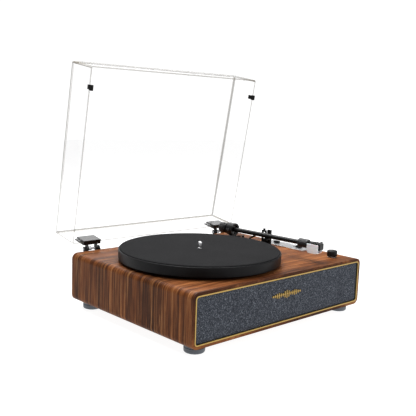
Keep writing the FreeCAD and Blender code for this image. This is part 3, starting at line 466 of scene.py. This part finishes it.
def round_corners(x, y, radius, steps=8):
    """Corners of a rectangle with arcs of the given radius."""
    points = []
    spots = ((x[1] - radius, y[1] - radius, 0), (x[0] + radius, y[1] - radius, 90),
             (x[0] + radius, y[0] + radius, 180), (x[1] - radius, y[0] + radius, 270))
    for across, along, start in spots:
        for step in range(steps + 1):
            angle = math.radians(start + 90 * step / steps)
            points.append((across + radius * math.cos(angle), along + radius * math.sin(angle)))
    return points


def millimetres(node):
    """A node's box as (x, y, z) pairs in millimetres."""
    low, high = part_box(node)
    return [(a / MM, b / MM) for a, b in zip(low, high)]


FACING_FRONT = Matrix.Rotation(math.radians(90), 4, "X")
ARM_TURN = Matrix.Rotation(math.atan2(ARM_LINE.x, -ARM_LINE.y), 4, "Z")
ARM = Matrix.Translation(PIVOT) @ ARM_TURN
ALONG_ARM = ARM @ FACING_FRONT
# At rest the lid stands open by the whole range of its hinge.
COVER_OPEN = math.radians(JOINTS["cover_hinge"]["range_deg"][1])
# Distances along the arm from its pivot, in millimetres.
COLLAR_NEAR = 170
COLLAR_FAR = 193
SHELL_FAR = 222


# ---- Cover ----

def make_cover():
    """Clear lid, drawn closed and swung open about its hinge; its rounded edges get a darker material of
    painted shade, for the light they bend and reflect.
    """
    width, depth, height, wall = 422, 333.8, 66, 2.6
    rim, back, corner = 3.8, -10.9, 4
    mesh = bmesh.new()
    add_box(mesh, (-width / 2, width / 2), (back - depth, back), (rim, rim + height))
    mesh.faces.ensure_lookup_table()
    floor_faces = [face for face in mesh.faces if face.calc_center_median().z < rim + 0.1]
    bmesh.ops.delete(mesh, geom=floor_faces, context="FACES")
    rounded = [edge for edge in mesh.edges if not edge.is_boundary]
    made = bmesh.ops.bevel(mesh, geom=rounded, offset=corner, segments=4, affect="EDGES", profile=0.5,
                           offset_type="OFFSET", clamp_overlap=True)
    # The rounded faces take the second material: the painted shade of the edges.
    for face in made["faces"]:
        face.material_index = 1
    bmesh.ops.recalc_face_normals(mesh, faces=mesh.faces)
    swing = Matrix.Translation(HINGE) @ Matrix.Rotation(-COVER_OPEN, 4, "X")
    cover = finish_piece("clear_lid", mesh, "clear_acrylic", "cover", ("dust_cover",), swing, bevel=0)
    # Second material: painted shade on the rounded edges and rim.
    cover.data.materials.append(CLEAR_EDGE_SHADE)
    sheet = cover.modifiers.new("sheet", "SOLIDIFY")
    sheet.thickness = wall * MM
    sheet.offset = -1
    sheet.material_offset_rim = 1
    sheet.use_even_offset = True


# ---- Front ----

def make_cloth():
    """Cloth stretched over the grille, bowed a little between its edges."""
    (left, right), (near, _), (low, high) = millimetres("grille_cloth")
    columns, rows = 96, 24
    bow, sheet_thickness, wrap_each_edge = 0.5, 0.7, 10
    mesh = bmesh.new()
    grid = []
    for row in range(rows + 1):
        line = []
        for column in range(columns + 1):
            u, v = column / columns, row / rows
            dish = bow * (1 - (2 * u - 1) ** 8) * (1 - (2 * v - 1) ** 6)
            line.append(mesh.verts.new((left + (right - left) * u, near + bow - dish,
                                        low + (high - low) * v)))
        grid.append(line)
    for row in range(rows):
        for column in range(columns):
            mesh.faces.new((grid[row][column], grid[row][column + 1], grid[row + 1][column + 1],
                            grid[row + 1][column]))
    cloth_piece = finish_piece("front_cloth", mesh, "speaker_cloth", "cabinet", ("grille_cloth",), bevel=0)
    thick = cloth_piece.modifiers.new("weave", "SOLIDIFY")
    thick.thickness = sheet_thickness * MM
    thick.offset = -1


def make_ornament():
    """Upright bars of a wavy height on a thin rail."""
    (left, right), (near, far), (low, high) = millimetres("front_badge")
    middle, level = (left + right) / 2, (low + high) / 2
    count, half_bar, half_rail, shortest = 15, 0.95, 0.6, 0.28
    on_cloth = Matrix.Translation((0, far, level)) @ FACING_FRONT
    mesh = bmesh.new()
    add_prism(mesh, round_corners((left, right), (-half_rail, half_rail), 0.5, 4), 0.2, 1.0, on_cloth)
    for i in range(count):
        across = i / (count - 1) - 0.5
        wave = abs(math.cos(3 * math.pi * across)) * math.cos(0.98 * math.pi * across)
        share = shortest + (1 - shortest) * wave
        x = middle + across * (right - left - 2)
        half = (high - low) * share / 2
        add_prism(mesh, round_corners((x - half_bar, x + half_bar), (-half, half), 0.9, 4), 0.0,
                  far - near, on_cloth)
    finish_piece("wave_ornament", mesh, "gold_trim", "cabinet", ("front_badge",), bevel=0.25, weld=False)


def make_trim():
    """A rolled gold bead that follows the front opening."""
    (left, right), (near, _), (low, high) = millimetres("grille_trim")
    corner, thick, sides = 6.2, 0.9, 12
    mesh = bmesh.new()
    path = round_corners((left + thick, right - thick), (low + thick, high - thick), corner, 10)
    rings = []
    centre = Vector(((left + right) / 2, (low + high) / 2))
    count = len(path)
    for i, (x, z) in enumerate(path):
        before, after = Vector(path[i - 1]), Vector(path[(i + 1) % count])
        run = (after - before).normalized()
        out = Vector((run.y, -run.x))
        if out.dot(Vector((x, z)) - centre) < 0:
            out = -out
        ring = []
        for side in range(sides):
            angle = 2 * math.pi * side / sides
            reach, forward = thick * math.cos(angle), thick * math.sin(angle)
            ring.append(mesh.verts.new((x + out.x * reach, near + thick - forward, z + out.y * reach)))
        rings.append(ring)
    for i in range(count):
        first, second = rings[i], rings[(i + 1) % count]
        for side in range(sides):
            after = (side + 1) % sides
            mesh.faces.new((first[side], first[after], second[after], second[side]))
    finish_piece("trim_bead", mesh, "gold_trim", "cabinet", bevel=0)


# ---- Feet, platter, mat and knob ----

def make_feet():
    """Turned rubber feet with a groove near the top; the first stands for the whole CAD group."""
    (left, right), (near, far), (_, high) = millimetres("rubber_feet")
    cad_radius, radius, groove, recess, screw = 17.5, 17.4, 16.6, 5, 2.2
    outline = [(recess, 5), (recess, 0.8), (12.2, 0), (14.4, 0.1), (16.2, 0.9), (17.1, 2.2), (radius, 4),
               (radius, 8.6), (groove, 9.2), (groove, 9.8), (radius, 10.4), (radius, high),
               (screw, high), (screw, 5)]
    for side, x in (("left", left + cad_radius), ("right", right - cad_radius)):
        for end, y in (("front", near + cad_radius), ("rear", far - cad_radius)):
            mesh = bmesh.new()
            add_turned(mesh, outline, 64)
            stands_for = ("rubber_feet",) if (side, end) == ("left", "front") else ()
            finish_piece(f"foot_{end}_{side}", mesh, "slate_rubber", "cabinet", stands_for,
                         Matrix.Translation((x * MM, y * MM, 0)), bevel=0.2)


def make_platter_top():
    """Felt mat with a rounded edge, and a spindle with a domed tip."""
    (left, right), _, (low, top) = millimetres("platter_mat")
    outer = (right - left) / 2
    spot = Matrix.Translation((SPINDLE.x, SPINDLE.y, 0))
    mesh = bmesh.new()
    rings = [(4.6, low), (4.6, top - 0.2), (5.2, top)]
    rings += [(radius, top) for radius in range(12, int(outer) - 4, 6)]
    rings += [(outer - 1.6, top), (outer - 0.6, top - 0.35), (outer, top - 1.1), (outer, low)]
    add_turned(mesh, rings, 256)
    finish_piece("felt_disc", mesh, "felt", "platter_body", ("platter_mat",), spot, bevel=0)

    _, _, (foot, tip) = millimetres("platter_spindle")
    mesh = bmesh.new()
    add_turned(mesh, [(0, foot), (3.4, foot), (4, foot + 0.6), (4, top), (3.6, top), (3.6, tip - 3.2),
                      (3.3, tip - 1.9), (2.7, tip - 0.9), (1.6, tip - 0.2), (0, tip)], 48)
    finish_piece("domed_spindle", mesh, "chrome", "platter_body", ("platter_spindle",), spot, bevel=0.15)


def make_knob():
    """Fluted volume knob with its shaft and pointer, in a chrome ring on the deck."""
    _, _, (_, top) = millimetres("volume_knob")
    deck = DECK / MM
    floor, radius = deck + 2.5, 9.9
    centre = JOINTS["volume_turn"]["pos_m"]
    spot = Matrix.Translation((centre[0], centre[1], 0))
    mesh = bmesh.new()
    outline = [(3.1, floor), (radius - 0.6, floor), (radius, floor + 0.6), (radius, top - 1.4),
               (radius - 1, top - 0.3), (radius - 1.7, top), (radius - 2.5, top - 0.3), (0, top - 0.3)]
    add_turned(mesh, outline, 240, flutes=40, depth=0.55, fluted=(2, 3))
    add_turned(mesh, [(0, deck - 12), (3, deck - 12), (3, deck + 4), (0, deck + 4)], 32)
    finish_piece("fluted_knob", mesh, "arm_black", "knob_body", ("volume_knob",), spot, bevel=0.12,
                 weld=False)
    mesh = bmesh.new()
    add_box(mesh, (-0.5, 0.5), (3, 8), (top - 0.35, top - 0.12))
    finish_piece("knob_pointer", mesh, "silver_plate", "knob_body", (), spot, bevel=0.08)
    mesh = bmesh.new()
    add_turned(mesh, [(3.6, deck), (7.4, deck), (7.5, deck + 0.4), (7.4, deck + 0.8), (6.4, deck + 1.1),
                      (6.0, deck + 1.5), (6.0, deck + 2.2), (3.6, deck + 2.2)], 96)
    finish_piece("knob_ring", mesh, "chrome", "cabinet", ("knob_collar",), spot, bevel=0.12)


# ---- Control plate ----

def make_controls():
    """Dished plate with a raised rim, and two ridged slider caps over their slots; each slot is a thin black
    sheet on the unbroken plate, painted shade for the opening.
    """
    (left, right), (near, far), (low, high) = millimetres("control_plate")
    middle = (left + right) / 2
    rim, lift, ridges = 1.6, 0.35, 5
    mesh = bmesh.new()
    outer = round_corners((left, right), (near, far), 3)
    inner = round_corners((left + rim, right - rim), (near + rim, far - rim), 1.8)
    levels = ((outer, low), (outer, high - 0.3), (outer, high), (inner, high), (inner, high - lift))
    loops = [[mesh.verts.new((x, y, z)) for x, y in points] for points, z in levels]
    for first, second in zip(loops, loops[1:]):
        for i in range(len(first)):
            after = (i + 1) % len(first)
            mesh.faces.new((first[i], first[after], second[after], second[i]))
    mesh.faces.new(loops[0])
    mesh.faces.new(loops[-1])
    finish_piece("plate_panel", mesh, "silver_plate", "cabinet", ("control_plate",), bevel=0.15)
    for slider, role in (("speed_slider", "speed"), ("stop_slider", "stop")):
        (x0, x1), (y0, y1), (z0, z1) = millimetres(slider)
        travel = JOINTS[role + "_slide"]["range_m"][1] / MM
        # The slot is not cut: a thin black sheet on the plate is painted shade where the open slot would lie
        # dark.
        mesh = bmesh.new()
        add_prism(mesh, round_corners((middle - 2, middle + 2), (y0 + 3, y1 + travel - 3), 1.9),
                  high - lift + 0.02, high - lift + 0.12)
        finish_piece(role + "_slot", mesh, "black_plastic", "cabinet", (), bevel=0)
        mesh = bmesh.new()
        add_prism(mesh, round_corners((x0, x1), (y0, y1), 1.4), high + 0.3, z1 - 1.0)
        for i in range(ridges):
            y = y0 + (i + 1) * (y1 - y0) / (ridges + 1)
            add_prism(mesh, round_corners((x0 + 0.9, x1 - 0.9), (y - 0.55, y + 0.55), 0.4, 4),
                      z1 - 1.1, z1)
        stem = (y0 + y1) / 2
        add_box(mesh, (middle - 1.6, middle + 1.6), (stem - 2, stem + 2), (z0, high + 0.5))
        finish_piece(role + "_cap", mesh, "black_plastic", role + "_body", (slider,), bevel=0.2,
                     weld=False)


# ---- Tonearm ----

def make_arm():
    """Counterweight and locking collar, turned about the arm; an outline's heights run along it."""
    near, far, radius, bore = -13, -31, 10.6, 5.55
    outline = [(bore, far), (radius - 1.6, far), (radius - 0.5, far + 0.5), (radius, far + 1.6),
               (radius, near - 5.2), (radius - 0.9, near - 4.8), (radius - 0.9, near - 4.2),
               (radius, near - 3.8), (radius, near - 0.9), (radius - 0.8, near), (bore, near)]
    mesh = bmesh.new()
    add_turned(mesh, outline, 192, flutes=48, depth=0.35, fluted=(4, 3))
    finish_piece("fluted_weight", mesh, "arm_black", "weight_body", ("counterweight",), ALONG_ARM,
                 bevel=0.2)
    near, far, radius, bore = COLLAR_NEAR, COLLAR_FAR, 8.4, 4.65
    outline = [(bore, near), (radius - 1.6, near), (radius - 0.3, near + 1.4), (radius, near + 2.4),
               (radius, near + 5), (radius, far - 5), (radius, far - 2.4), (radius - 0.2, far - 1.2),
               (radius - 1.2, far), (bore, far)]
    mesh = bmesh.new()
    add_turned(mesh, outline, 192, flutes=36, depth=0.4, fluted=(4, 5))
    finish_piece("knurled_collar", mesh, "collar_grey", "collar_body", ("locking_collar",), ALONG_ARM,
                 bevel=0.2)


def make_headshell():
    """Headshell with a neck, tapering sides and a curled finger lift."""
    collar, tip = -COLLAR_FAR, -SHELL_FAR
    neck_near, neck_far, neck_radius = COLLAR_FAR - 4.8, COLLAR_FAR + 1.2, 4.5
    mesh = bmesh.new()
    add_turned(mesh, [(0, neck_near), (neck_radius, neck_near), (neck_radius, neck_far), (0, neck_far)],
               48, FACING_FRONT)
    outline = [(-5.2, collar - 0.3), (5.2, collar - 0.3), (7, collar - 7), (7, tip + 2), (6, tip),
               (-6, tip), (-7, tip + 2), (-7, collar - 7)]
    add_prism(mesh, outline, 2.6, 5)
    add_box(mesh, (-5.9, 5.9), (collar - 3, collar - 0.3), (-4, 3))
    add_box(mesh, (-6, 6), (tip, tip + 2), (-7, 3))
    curl = [(6, 3.2), (10, 3.1), (14, 3.2), (16, 3.7), (17, 4.8), (16.2, 5.4), (15, 4.6), (13, 4.3),
            (6, 4.4)]
    add_prism(mesh, curl, SHELL_FAR - 13, SHELL_FAR - 9, FACING_FRONT)
    finish_piece("shaped_headshell", mesh, "arm_black", "head_body", ("headshell",), ARM, bevel=0.25,
                 weld=False)


def make_cartridge():
    """Cartridge under the headshell, with the heads of its two screws on top."""
    tip = -SHELL_FAR
    mesh = bmesh.new()
    add_box(mesh, (-5.5, 5.5), (tip + 6.2, tip + 22), (-7.4, 2.5))
    add_box(mesh, (-4.9, 4.9), (tip + 6.8, tip + 21.4), (-10, -7.2))
    for side in (-1, 1):
        add_turned(mesh, [(0, 5), (1.5, 5), (1.5, 6.0), (0, 6.3)], 24,
                   Matrix.Translation((side * 3.6, tip + 12, 0)))
    finish_piece("pickup", mesh, "gloss_black", "head_body", ("cartridge",), ARM, bevel=0.3, weld=False)


def make_guard():
    """White stylus guard: two cheeks joined by a floor."""
    front, back, half_width, wall = 3.6 - SHELL_FAR, -COLLAR_FAR - 0.3, 8, 1.6
    mesh = bmesh.new()
    side_view = [(front, 2.2), (back, 2.2), (back, -11.5), (back - 3.4, -15.2), (front + 5, -15.2),
                 (front + 1.4, -13.2), (front, -9.5)]
    outline_to_side = Matrix(((0, 0, 1, 0), (1, 0, 0, 0), (0, 1, 0, 0), (0, 0, 0, 1)))
    for low, high in ((-half_width, wall - half_width), (half_width - wall, half_width)):
        add_prism(mesh, side_view, low, high, outline_to_side)
    half_floor = half_width + 0.2 - wall
    add_box(mesh, (-half_floor, half_floor), (front + 4.5, back - 3), (-15.2, -14))
    finish_piece("white_guard", mesh, "guard_white", "guard_body", ("stylus_guard",), ARM, bevel=0.35,
                 weld=False)


def make_latch():
    """Rest latch: a barrel on its pin, with a thin finger that is curled at its tip."""
    spot = Vector(JOINTS["latch_turn"]["pos_m"])
    local = Matrix.Translation(spot) @ ARM_TURN @ FACING_FRONT
    start, end, bore, radius = -2.7, 2.7, 0.85, 1.9
    mesh = bmesh.new()
    add_turned(mesh, [(bore, start), (radius, start), (radius, end), (bore, end)], 48)
    finger = [(-0.9, 1.5), (-0.9, 3.4), (-0.6, 4.6), (0, 5.4), (0.7, 5.6), (0.8, 5.0), (0.4, 4.4), (0.5, 1.5)]
    add_prism(mesh, finger, start, end)
    finish_piece("curled_latch", mesh, "black_plastic", "latch_body", ("arm_latch",), local, bevel=0.15,
                 weld=False)


make_latch()
make_cover()
make_cloth()
make_ornament()
make_trim()
make_feet()
make_platter_top()
make_knob()
make_controls()
make_arm()
make_headshell()
make_cartridge()
make_guard()
